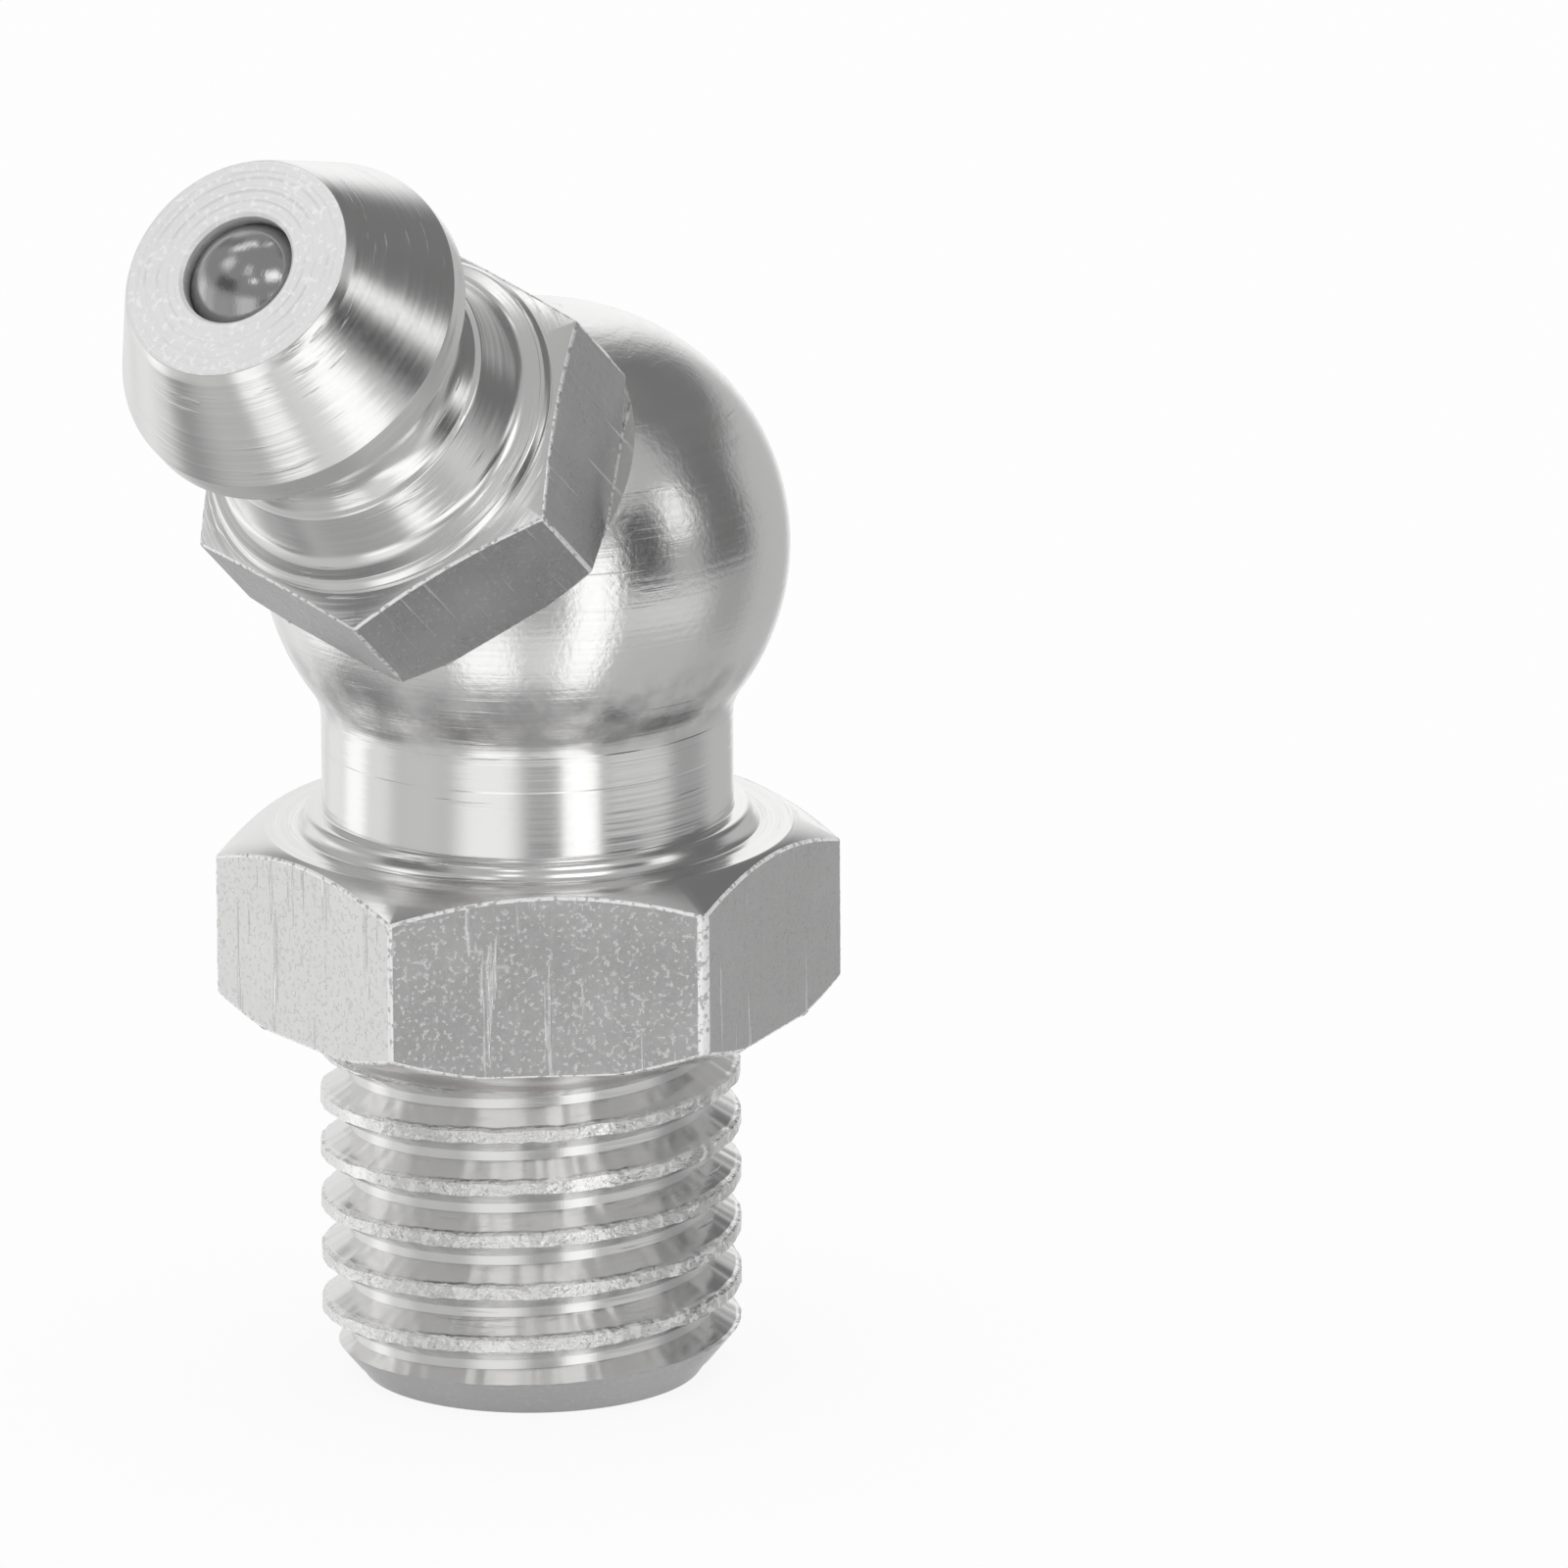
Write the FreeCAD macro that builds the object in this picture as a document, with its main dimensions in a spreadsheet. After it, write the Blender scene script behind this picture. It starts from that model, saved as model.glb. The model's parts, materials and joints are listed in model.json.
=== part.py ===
import FreeCAD, Part
import os
import Sketcher
from FreeCAD import Rotation, Vector

# Angled grease nipple, in millimetres and degrees.
# The origin is the middle of the threaded end face. +Z runs up the thread, and the
# head leans towards -X. The turned elbow body carries the head, which is turned and
# milled by itself and pressed into the ball of the body. The head holds a check ball
# and the spring that shuts it.

# Driving dimensions, one cell of the sheet each
SIZES = {
    # threaded shank
    "thread_diameter": 7.8,
    "shank_length": 6.97,
    "thread_tip_diameter": 6.26,
    "thread_tip_length": 0.95,
    "relief_diameter": 6.9,
    "relief_width": 0.4,
    # grease bore of the shank
    "bore_diameter": 4.2,
    "bore_depth": 14.6,
    "drill_tip_angle": 118.0,
    # turned stock left outside the corners of both hexagons, and the reach of the mill
    "blank_margin": 0.05,
    "mill_margin": 1.0,
    # large hexagon
    "hex_width": 10.0,
    "hex_thickness": 3.48,
    "hex_turn": 7.25,
    "hex_top_land": 9.74,
    "hex_seat_land": 10.3,
    "hex_chamfer_angle": 30.0,
    # neck above the large hexagon
    "neck_diameter": 7.58,
    "neck_foot_step": 0.31,
    "neck_foot_height": 0.32,
    "neck_foot_chamfer": 0.14,
    # ball of the elbow, turned as an arc whose centre is off the axis
    "ball_height": 15.75,
    "ball_arc_radius": 4.43,
    "ball_arc_offset": 0.43,
    "ball_neck_round": 1.0,
    # axis of the head: its lean from +Z, and where it passes at the ball's height
    "head_tilt": 49.45,
    "head_offset": 0.898,
    # distances along the head's axis start at that point
    "seat_distance": 2.4,
    "spotface_diameter": 8.6,
    "spotface_clearance": 3.0,
    "spigot_diameter": 5.0,
    "spigot_length": 2.2,
    "socket_end_gap": 0.3,
    "passage_diameter": 3.0,
    "passage_length": 2.3,
    # small hexagon of the head
    "head_hex_width": 7.0,
    "head_hex_thickness": 2.56,
    "head_hex_turn": 13.0,
    "head_hex_land": 6.76,
    "head_chamfer_angle": 20.0,
    # turned nozzle of the head, from the hexagon out to the face
    "collar_diameter": 6.7,
    "collar_length": 0.29,
    "shoulder_diameter": 5.94,
    "shoulder_length": 1.27,
    "shoulder_front_diameter": 5.3,
    "waist_diameter": 4.86,
    "waist_taper_length": 0.43,
    "rim_distance": 8.45,
    "rim_diameter": 6.62,
    "rim_width": 0.48,
    "rim_back_angle": 40.0,
    "nose_distance": 11.08,
    "nose_diameter": 4.36,
    "nose_edge_chamfer": 0.12,
    "nose_cone_angle": 27.2,
    # mouth, ball seat and chamber
    "mouth_diameter": 2.16,
    "mouth_edge_chamfer": 0.06,
    "mouth_length": 0.34,
    "seat_cone_angle": 28.0,
    "chamber_diameter": 2.8,
    "staked_hole_diameter": 1.5,
    "staked_lip_thickness": 0.35,
    # check ball and spring
    "check_ball_diameter": 2.5,
    "seat_clearance": 0.015,
    "spring_diameter": 2.1,
    "wire_diameter": 0.28,
    "spring_turns": 5.0,
    "spring_clearance": 0.02,
}

document = FreeCAD.newDocument("GreaseNipple")
sheet = document.addObject("Spreadsheet::Sheet", "Sizes")
for row, (alias, size) in enumerate(SIZES.items(), start=1):
    sheet.set("A%d" % row, alias)
    sheet.set("B%d" % row, str(size))
    sheet.setAlias("B%d" % row, alias)
document.recompute()


def read(expression):
    """Work out an expression on the sheet's cells, as a plain number."""
    return float(sheet.evalExpression(expression))


# Places along the two axes that several features share, as expressions on the sheet
HEX_TOP = "(Sizes.shank_length + Sizes.hex_thickness)"
NECK_FOOT_TOP = "(%s + Sizes.neck_foot_height)" % HEX_TOP
NECK_FOOT_RADIUS = "(Sizes.neck_diameter / 2 + Sizes.neck_foot_step)"
HEX_BLANK_RADIUS = "(Sizes.hex_width / 2 / cos(30) + Sizes.blank_margin)"
HEX_CHAMFER = "tan(Sizes.hex_chamfer_angle)"
SPIGOT_END = "(Sizes.seat_distance - Sizes.spigot_length)"
SOCKET_END = "(%s - Sizes.socket_end_gap)" % SPIGOT_END
HEAD_BLANK_RADIUS = "(Sizes.head_hex_width / 2 / cos(30) + Sizes.blank_margin)"
HEAD_HEX_FRONT = "(Sizes.seat_distance + Sizes.head_hex_thickness)"
COLLAR_FRONT = "(%s + Sizes.collar_length)" % HEAD_HEX_FRONT
SHOULDER_FRONT = "(%s + Sizes.shoulder_length)" % COLLAR_FRONT
WAIST_BACK = "(%s + Sizes.waist_taper_length)" % SHOULDER_FRONT
RIM_FRONT = "(Sizes.rim_distance + Sizes.rim_width)"
MOUTH_END = "(Sizes.nose_distance - Sizes.mouth_length)"
BALL_TOUCH_RADIUS = "(Sizes.check_ball_diameter / 2 * cos(Sizes.seat_cone_angle))"
# where the ball would touch the cone, and the ball's centre behind that
BALL_TOUCH = ("(%s - (%s - Sizes.mouth_diameter / 2) / tan(Sizes.seat_cone_angle))"
              % (MOUTH_END, BALL_TOUCH_RADIUS))
BALL_CENTRE = ("(%s - Sizes.check_ball_diameter / 2 * sin(Sizes.seat_cone_angle)"
               " - Sizes.seat_clearance)" % BALL_TOUCH)
LIP_FRONT = "(%s + Sizes.staked_lip_thickness)" % SPIGOT_END
SPRING_MEAN_RADIUS = "((Sizes.spring_diameter - Sizes.wire_diameter) / 2)"
# the thin wire is drawn with six flats, which keeps the coil light
WIRE_SIDES = 6
HEAD_PLACE = ("placement(vector(-Sizes.head_offset; 0; Sizes.ball_height);"
              " rotation(vector(0; -1; 0); Sizes.head_tilt))")


def origin_plane(body, role):
    """The body's own origin plane of that role."""
    return next(plane for plane in body.Origin.OriginFeatures if plane.Role == role)


def sketch_on(body, role, name, offset=None):
    """A sketch on one of the body's own planes, moved by an expression if one is given."""
    sketch = body.newObject("Sketcher::SketchObject", name)
    sketch.AttachmentSupport = [(origin_plane(body, role), "")]
    sketch.MapMode = "FlatFace"
    if offset:
        sketch.setExpression("AttachmentOffset", offset)
    return sketch


def bind(sketch, kind, where, expression):
    """Add one dimension and tie it to the sheet."""
    number = sketch.addConstraint(Sketcher.Constraint(kind, *where, read(expression)))
    sketch.setExpression("Constraints[%d]" % number, expression)


def pin_point(sketch, edge, end, corner):
    """Hold one end of an edge at a corner: its radius and its height as expressions."""
    for kind, axis, expression in (("DistanceX", -2, corner[0]), ("DistanceY", -1, corner[1])):
        if expression == "0":
            sketch.addConstraint(Sketcher.Constraint("PointOnObject", edge, end, axis))
        else:
            bind(sketch, kind, (-1, 1, edge, end), expression)


def bulge_arc(first, last, radius, side):
    """An arc between two points that bulges to the given side, as numbers."""
    start, end = Vector(*first, 0), Vector(*last, 0)
    along = end - start
    across = Vector(along.y, -along.x, 0).normalize() * side
    depth = radius - (radius ** 2 - along.Length ** 2 / 4) ** 0.5
    return Part.Arc(start, (start + end) / 2 + across * depth, end)


def draw_profile(sketch, corners, arcs=()):
    """A closed outline through corners given as pairs of expressions.

    arcs maps the number of a corner to the radius and side of the arc that leaves it.
    """
    arcs = dict(arcs)
    points = [(read(radius), read(height)) for radius, height in corners]
    count = len(points)
    first = {}
    last = {}
    for number, point in enumerate(points):
        following = points[(number + 1) % count]
        if number in arcs:
            radius, side = arcs[number]
            curve = bulge_arc(point, following, read(radius), side)
            edge = sketch.addGeometry(curve)
            flipped = not Vector(*point, 0).isEqual(sketch.Geometry[edge].StartPoint, 1e-6)
            first[number], last[number] = (2, 1) if flipped else (1, 2)
        else:
            edge = sketch.addGeometry(Part.LineSegment(Vector(*point, 0), Vector(*following, 0)))
            first[number], last[number] = 1, 2
    for number in range(count):
        previous = (number - 1) % count
        joint = (previous, last[previous], number, first[number])
        sketch.addConstraint(Sketcher.Constraint("Coincident", *joint))
    for number, corner in enumerate(corners):
        pin_point(sketch, number, first[number], corner)
    for number, (radius, side) in arcs.items():
        bind(sketch, "Radius", (number,), radius)


def turn(body, kind, name, sketch):
    """A full turn of a sketch about its own upright axis, added or cut."""
    feature = body.newObject(kind, name)
    feature.Profile = sketch
    feature.ReferenceAxis = (sketch, ["V_Axis"])
    feature.Angle = 360
    return feature


def mill_hexagon(body, name, width, angle, low, high, outside):
    """Mill six flats: cut away what lies between the hexagon and a circle outside it."""
    place = ("placement(vector(0; 0; %s); rotation(vector(0; 0; 1); %s))" % (low, angle))
    sketch = sketch_on(body, "XY_Plane", name + "Sketch", place)
    across_corners = read(width) / 3 ** 0.5
    corners = [Rotation(Vector(0, 0, 1), 60 * k).multVec(Vector(across_corners, 0, 0)) for k in range(6)]
    for k in range(6):
        sketch.addGeometry(Part.LineSegment(corners[k], corners[(k + 1) % 6]))
    guide = sketch.addGeometry(Part.Circle(Vector(), Vector(0, 0, 1), across_corners), True)
    for k in range(6):
        sketch.addConstraint(Sketcher.Constraint("Coincident", k, 2, (k + 1) % 6, 1))
        sketch.addConstraint(Sketcher.Constraint("PointOnObject", k, 1, guide))
        if k:
            sketch.addConstraint(Sketcher.Constraint("Equal", 0, k))
    sketch.addConstraint(Sketcher.Constraint("Coincident", guide, 3, -1, 1))
    sketch.addConstraint(Sketcher.Constraint("PointOnObject", 0, 1, -1))
    bind(sketch, "Radius", (guide,), width + " / 2 / cos(30)")
    circle = sketch.addGeometry(Part.Circle(Vector(), Vector(0, 0, 1), read(outside)))
    sketch.addConstraint(Sketcher.Constraint("Coincident", circle, 3, -1, 1))
    bind(sketch, "Radius", (circle,), outside)
    document.recompute()
    before = body.Shape.Volume
    pocket = body.newObject("PartDesign::Pocket", name)
    pocket.Profile = sketch
    pocket.Reversed = True
    pocket.setExpression("Length", "%s - %s" % (high, low))
    document.recompute()
    assert pocket.Shape.Volume < before, name + " cut nothing"


def round_edge(body, name, radius, edge_radius, height):
    """Round the circular edge of that radius at that height of the body."""
    document.recompute()
    base = body.Tip
    centre = Vector(0, 0, read(height))
    names = []
    for number, edge in enumerate(base.Shape.Edges, start=1):
        is_circle = isinstance(edge.Curve, Part.Circle)
        if is_circle and edge.Curve.Center.isEqual(centre, 1e-4):
            if abs(edge.Curve.Radius - read(edge_radius)) < 1e-4:
                names.append("Edge%d" % number)
    assert names, name + " found no edge"
    fillet = body.newObject("PartDesign::Fillet", name)
    fillet.Base = (base, names)
    fillet.setExpression("Radius", radius)
    document.recompute()


def elbow_body():
    """Threaded shank, large hexagon, neck and ball, turned from one bar."""
    body = document.addObject("PartDesign::Body", "ElbowBody")
    body.Label = "elbow_body"
    shank = "Sizes.thread_diameter / 2"
    relief = "Sizes.relief_diameter / 2"
    relief_start = "Sizes.shank_length - Sizes.relief_width"
    seat_land = "Sizes.hex_seat_land / 2"
    top_land = "Sizes.hex_top_land / 2"
    seat_chamfer = "(%s - %s) * %s" % (HEX_BLANK_RADIUS, seat_land, HEX_CHAMFER)
    top_chamfer = "(%s - %s) * %s" % (HEX_BLANK_RADIUS, top_land, HEX_CHAMFER)
    neck = "Sizes.neck_diameter / 2"
    arc_reach = "(%s - Sizes.ball_arc_offset)" % neck
    ball_foot = "Sizes.ball_height - sqrt(Sizes.ball_arc_radius ^ 2 - %s ^ 2)" % arc_reach
    ball_widest = "Sizes.ball_arc_offset + Sizes.ball_arc_radius"
    ball_top = "Sizes.ball_height + Sizes.ball_arc_radius"
    outline = sketch_on(body, "XZ_Plane", "TurnedOutline")
    corners = [
        ("0", "0"),
        ("Sizes.thread_tip_diameter / 2", "0"),
        (shank, "Sizes.thread_tip_length"),
        (shank, relief_start + " - (%s - %s)" % (shank, relief)),
        (relief, relief_start),
        (relief, "Sizes.shank_length"),
        (seat_land, "Sizes.shank_length"),
        (HEX_BLANK_RADIUS, "Sizes.shank_length + " + seat_chamfer),
        (HEX_BLANK_RADIUS, HEX_TOP + " - " + top_chamfer),
        (top_land, HEX_TOP),
        (NECK_FOOT_RADIUS, HEX_TOP),
        (NECK_FOOT_RADIUS, NECK_FOOT_TOP + " - Sizes.neck_foot_chamfer"),
        (NECK_FOOT_RADIUS + " - Sizes.neck_foot_chamfer", NECK_FOOT_TOP),
        (neck, NECK_FOOT_TOP),
        (neck, ball_foot),
        (ball_widest, "Sizes.ball_height"),
        ("Sizes.ball_arc_offset", ball_top),
        ("0", ball_top),
    ]
    arc = ("Sizes.ball_arc_radius", 1)
    draw_profile(outline, corners, {14: arc, 15: arc})
    turn(body, "PartDesign::Revolution", "TurnedBar", outline)
    round_edge(body, "BallNeckRound", "Sizes.ball_neck_round", neck, ball_foot)
    mill_hexagon(body, "HexagonFlats", "Sizes.hex_width", "Sizes.hex_turn",
                 "Sizes.shank_length", HEX_TOP, HEX_BLANK_RADIUS + " + Sizes.mill_margin")

    bore = "Sizes.bore_diameter / 2"
    tip = "Sizes.bore_depth + %s / tan(Sizes.drill_tip_angle / 2)" % bore
    drilled = sketch_on(body, "XZ_Plane", "GreaseBoreOutline")
    draw_profile(drilled, [
        ("0", "0"),
        (bore, "0"),
        (bore, "Sizes.bore_depth"),
        ("0", tip),
    ])
    turn(body, "PartDesign::Groove", "GreaseBore", drilled)

    lean = ("placement(vector(-Sizes.head_offset; Sizes.ball_height; 0);"
            " rotation(vector(0; 0; 1); Sizes.head_tilt))")
    socket = sketch_on(body, "XZ_Plane", "HeadSocketOutline", lean)
    spigot = "Sizes.spigot_diameter / 2"
    spotface = "Sizes.spotface_diameter / 2"
    passage = "Sizes.passage_diameter / 2"
    passage_end = "%s - Sizes.passage_length" % SOCKET_END
    cleared = "Sizes.seat_distance + Sizes.spotface_clearance"
    draw_profile(socket, [
        ("0", passage_end),
        (passage, passage_end),
        (passage, SOCKET_END),
        (spigot, SOCKET_END),
        (spigot, "Sizes.seat_distance"),
        (spotface, "Sizes.seat_distance"),
        (spotface, cleared),
        ("0", cleared),
    ])
    turn(body, "PartDesign::Groove", "HeadSocket", socket)
    return body


def nipple_head():
    """Head with its own hexagon, nozzle, ball seat and chamber, made upright and leant over."""
    body = document.addObject("PartDesign::Body", "NippleHead")
    body.Label = "nipple_head"
    spigot = "Sizes.spigot_diameter / 2"
    land = "Sizes.head_hex_land / 2"
    chamfer = "(%s - %s) * tan(Sizes.head_chamfer_angle)" % (HEAD_BLANK_RADIUS, land)
    collar = "Sizes.collar_diameter / 2"
    shoulder = "Sizes.shoulder_diameter / 2"
    waist = "Sizes.waist_diameter / 2"
    rim = "Sizes.rim_diameter / 2"
    back_foot = "Sizes.rim_distance - (%s - %s) / tan(Sizes.rim_back_angle)" % (rim, waist)
    nose = "Sizes.nose_diameter / 2"
    cone_end = "(%s + Sizes.nose_edge_chamfer)" % nose
    cone_length = "(%s - %s) / tan(Sizes.nose_cone_angle)" % (rim, cone_end)
    outline = sketch_on(body, "XZ_Plane", "HeadOutline")
    draw_profile(outline, [
        ("0", SPIGOT_END),
        (spigot, SPIGOT_END),
        (spigot, "Sizes.seat_distance"),
        (HEAD_BLANK_RADIUS, "Sizes.seat_distance"),
        (HEAD_BLANK_RADIUS, "%s - %s" % (HEAD_HEX_FRONT, chamfer)),
        (land, HEAD_HEX_FRONT),
        (collar, HEAD_HEX_FRONT),
        (collar, COLLAR_FRONT),
        (shoulder, COLLAR_FRONT),
        ("Sizes.shoulder_front_diameter / 2", SHOULDER_FRONT),
        (waist, WAIST_BACK),
        (waist, back_foot),
        (rim, "Sizes.rim_distance"),
        (rim, RIM_FRONT),
        (cone_end, "%s + %s" % (RIM_FRONT, cone_length)),
        (nose, "Sizes.nose_distance"),
        ("0", "Sizes.nose_distance"),
    ])
    turn(body, "PartDesign::Revolution", "TurnedHead", outline)
    mill_hexagon(body, "HeadFlats", "Sizes.head_hex_width", "Sizes.head_hex_turn",
                 "Sizes.seat_distance", HEAD_HEX_FRONT, HEAD_BLANK_RADIUS + " + Sizes.mill_margin")

    mouth = "Sizes.mouth_diameter / 2"
    chamber = "Sizes.chamber_diameter / 2"
    cone_foot = "%s - (%s - %s) / tan(Sizes.seat_cone_angle)" % (MOUTH_END, chamber, mouth)
    hole = "Sizes.staked_hole_diameter / 2"
    inside = sketch_on(body, "XZ_Plane", "ChamberOutline")
    draw_profile(inside, [
        ("0", SPIGOT_END),
        (hole, SPIGOT_END),
        (hole, LIP_FRONT),
        (chamber, LIP_FRONT),
        (chamber, cone_foot),
        (mouth, MOUTH_END),
        (mouth, "Sizes.nose_distance - Sizes.mouth_edge_chamfer"),
        (mouth + " + Sizes.mouth_edge_chamfer", "Sizes.nose_distance"),
        ("0", "Sizes.nose_distance"),
    ])
    turn(body, "PartDesign::Groove", "Chamber", inside)
    body.setExpression("Placement", HEAD_PLACE)
    return body


def check_ball():
    """Ball that shuts the mouth from inside, a hair behind its seat."""
    ball = document.addObject("Part::Sphere", "CheckBall")
    ball.Label = "check_ball"
    ball.setExpression("Radius", "Sizes.check_ball_diameter / 2")
    along = "(vector(-sin(Sizes.head_tilt); 0; cos(Sizes.head_tilt)) * %s)" % BALL_CENTRE
    base = "vector(-Sizes.head_offset; 0; Sizes.ball_height)"
    ball.setExpression("Placement", "placement(%s + %s; rotation(vector(0; -1; 0); Sizes.head_tilt))"
                       % (base, along))
    return ball


def ball_spring():
    """Coil spring between the staked lip and the back of the check ball."""
    body = document.addObject("PartDesign::Body", "BallSpring")
    body.Label = "ball_spring"
    wire = "Sizes.wire_diameter / 2"
    reach = "(Sizes.check_ball_diameter / 2 + %s + Sizes.spring_clearance)" % wire
    on_ball = "%s - sqrt(%s ^ 2 - %s ^ 2)" % (BALL_CENTRE, reach, SPRING_MEAN_RADIUS)
    first = "(%s + %s + Sizes.spring_clearance)" % (LIP_FRONT, wire)
    section = sketch_on(body, "XZ_Plane", "WireSection")
    step = 360 / WIRE_SIDES
    draw_profile(section, [
        ("%s + %s * cos(%s)" % (SPRING_MEAN_RADIUS, wire, (side + 0.5) * step),
         "%s + %s * sin(%s)" % (first, wire, (side + 0.5) * step))
        for side in range(WIRE_SIDES)
    ])
    document.recompute()
    coil = body.newObject("PartDesign::AdditiveHelix", "Coil")
    coil.Profile = section
    coil.ReferenceAxis = (section, ["V_Axis"])
    coil.Mode = "height-turns-angle"
    coil.setExpression("Height", "%s - %s" % (on_ball, first))
    coil.setExpression("Turns", "Sizes.spring_turns")
    body.setExpression("Placement", HEAD_PLACE)
    return body


parts = [elbow_body(), nipple_head(), check_ball(), ball_spring()]
document.recompute()
for item in document.Objects:
    failed = {"Invalid", "Error"} & set(item.State)
    assert not failed, "%s did not build: %s" % (item.Label, item.State)
for part in parts:
    assert not part.Shape.isNull() and part.Shape.isValid(), part.Label + " is not a sound solid"
    assert len(part.Shape.Solids) == 1, part.Label + " is not one solid"
os.makedirs("parts", exist_ok=True)
for part in parts:
    part.Shape.exportStep(os.path.join("parts", part.Label + ".step"))
    box = part.Shape.BoundBox
    print("%-12s volume %8.3f  x %.3f to %.3f  y %.3f to %.3f  z %.3f to %.3f" % (
        part.Label, part.Shape.Volume, box.XMin, box.XMax, box.YMin, box.YMax, box.ZMin, box.ZMax))
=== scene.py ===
# %% [markdown]
# # Dressing an angled grease nipple
#
# The nipple is a small turned steel fitting. Its shank carries a fine thread, a large
# hexagon takes the spanner, and a ball above the neck carries the head, which leans
# over and ends in the nozzle that the grease gun grips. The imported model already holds
# every piece at its real size. This lesson loads it, makes the visible surfaces again
# with soft edges and a real thread, and gives each one its machined finish.

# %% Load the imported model
import json
import math
import bmesh
import bpy
from mathutils import Matrix, Vector, noise


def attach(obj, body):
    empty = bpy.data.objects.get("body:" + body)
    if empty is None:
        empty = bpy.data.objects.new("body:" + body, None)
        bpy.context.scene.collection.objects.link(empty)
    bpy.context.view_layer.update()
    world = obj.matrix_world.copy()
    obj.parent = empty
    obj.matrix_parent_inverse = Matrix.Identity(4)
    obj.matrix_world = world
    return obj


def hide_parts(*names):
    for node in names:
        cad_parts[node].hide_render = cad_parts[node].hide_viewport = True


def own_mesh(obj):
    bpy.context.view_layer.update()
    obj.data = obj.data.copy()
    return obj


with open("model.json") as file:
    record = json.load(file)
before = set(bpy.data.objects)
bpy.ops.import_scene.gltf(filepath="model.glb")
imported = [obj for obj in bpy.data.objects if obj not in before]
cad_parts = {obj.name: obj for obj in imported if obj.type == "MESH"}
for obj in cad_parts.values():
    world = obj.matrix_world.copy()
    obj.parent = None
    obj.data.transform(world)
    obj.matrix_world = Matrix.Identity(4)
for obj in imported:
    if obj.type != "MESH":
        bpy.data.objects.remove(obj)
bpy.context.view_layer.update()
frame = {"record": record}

MM = 0.001
MOUNT_SIZES = {mount["name"]: mount["dims"] for mount in frame["record"]["mounts"]}

# %% [markdown]
# ## The camera first
#
# The photograph is a close view from a little above, with the head leaning to the
# left. A long lens keeps the hexagons nearly free of perspective. The camera could be
# placed by eye, but it is better worked out: its place from the direction it looks
# from and its distance, and its aim from the pixel at which a known point of the
# nipple is seen. So the nipple lies left of the middle without any lens shift.

# %% Camera
PHOTO_WIDTH = 1600
CAMERA_AZIMUTH = math.radians(-56.558)
CAMERA_HEIGHT = math.radians(15.816)
CAMERA_ROLL = math.radians(-0.528)
CAMERA_DISTANCE = 390.96 * MM
FOCAL_PIXELS = 21661.6
AIM = Vector((0, 0, 9.774 * MM))
AIM_PIXEL = (539.2, 873.0)
SENSOR = 36.0
CLIP = (0.01, 10)


def unit(vector):
    return vector.normalized()


def make_camera():
    back = Vector((math.sin(CAMERA_AZIMUTH) * math.cos(CAMERA_HEIGHT),
                   -math.cos(CAMERA_AZIMUTH) * math.cos(CAMERA_HEIGHT),
                   math.sin(CAMERA_HEIGHT)))
    level = unit((-back).cross(Vector((0, 0, 1))))
    above = level.cross(-back)
    right = level * math.cos(CAMERA_ROLL) + above * math.sin(CAMERA_ROLL)
    up = above * math.cos(CAMERA_ROLL) - level * math.sin(CAMERA_ROLL)
    middle = PHOTO_WIDTH / 2
    aim = unit(-back * FOCAL_PIXELS - right * (AIM_PIXEL[0] - middle)
               + up * (AIM_PIXEL[1] - middle))
    right = unit(right - aim * right.dot(aim))
    up = right.cross(aim)
    data = bpy.data.cameras.new("camera")
    data.sensor_width = SENSOR
    data.lens = FOCAL_PIXELS * SENSOR / PHOTO_WIDTH
    data.clip_start, data.clip_end = CLIP
    camera = bpy.data.objects.new("camera", data)
    camera.matrix_world = Matrix.Translation(AIM + back * CAMERA_DISTANCE) @ Matrix(
        (right, up, -aim)).transposed().to_4x4()
    bpy.context.scene.collection.objects.link(camera)
    bpy.context.scene.camera = camera
    return camera


camera = make_camera()
print("lens %.1f mm at %.3f m" % (camera.data.lens, camera.location.length))

# %% [markdown]
# ## Turning a profile
#
# Most of the nipple came off a lathe, so most of it is a profile turned about an axis.
# A profile is a list of corners, each with its radius, its height and how far it is
# rounded. Real edges are never perfectly sharp, and on bright metal the thin rounded
# edge is what catches the light. A Bevel modifier could round them too, but here every
# corner gets the radius that its own tool left.

# %% Softened corners and arcs
ROUND_STEPS = 4
LONGEST_CUT = 0.48


def soften(corners, steps=ROUND_STEPS):
    """Points of a profile whose corners (radius, height, rounding) are rounded off."""
    points = []
    for number, (radius, height, rounding) in enumerate(corners):
        here = Vector((radius, height))
        if not rounding:
            points.append(here)
            continue
        before = Vector(corners[number - 1][:2]) - here
        after = Vector(corners[(number + 1) % len(corners)][:2]) - here
        half = before.angle(after) / 2
        cut = min(rounding / math.tan(half),
                  LONGEST_CUT * before.length, LONGEST_CUT * after.length)
        start, end = here + unit(before) * cut, here + unit(after) * cut
        for step in range(steps + 1):
            share = step / steps
            points.append(start.lerp(here, share).lerp(here.lerp(end, share), share))
    return points


def arc(centre, radius, first, last, steps):
    """Points of an arc, with its angles in degrees from the +radius direction."""
    angles = [math.radians(first + (last - first) * step / steps) for step in range(steps + 1)]
    return [Vector((centre[0] + radius * math.cos(angle), centre[1] + radius * math.sin(angle)))
            for angle in angles]


corner = soften([(0, 0, 0), (1, 0, 0.2), (1, 1, 0)])
print("a rounded corner takes %d points" % (len(corner) - 2))

# %% Lathe
AROUND = 288
HOLE_AROUND = 144
ON_AXIS = 1e-9


def add_mesh(name, form):
    """A new object at the origin that holds a finished bmesh."""
    mesh = bpy.data.meshes.new(name)
    form.to_mesh(mesh)
    form.free()
    piece = bpy.data.objects.new(name, mesh)
    bpy.context.scene.collection.objects.link(piece)
    return piece


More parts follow.
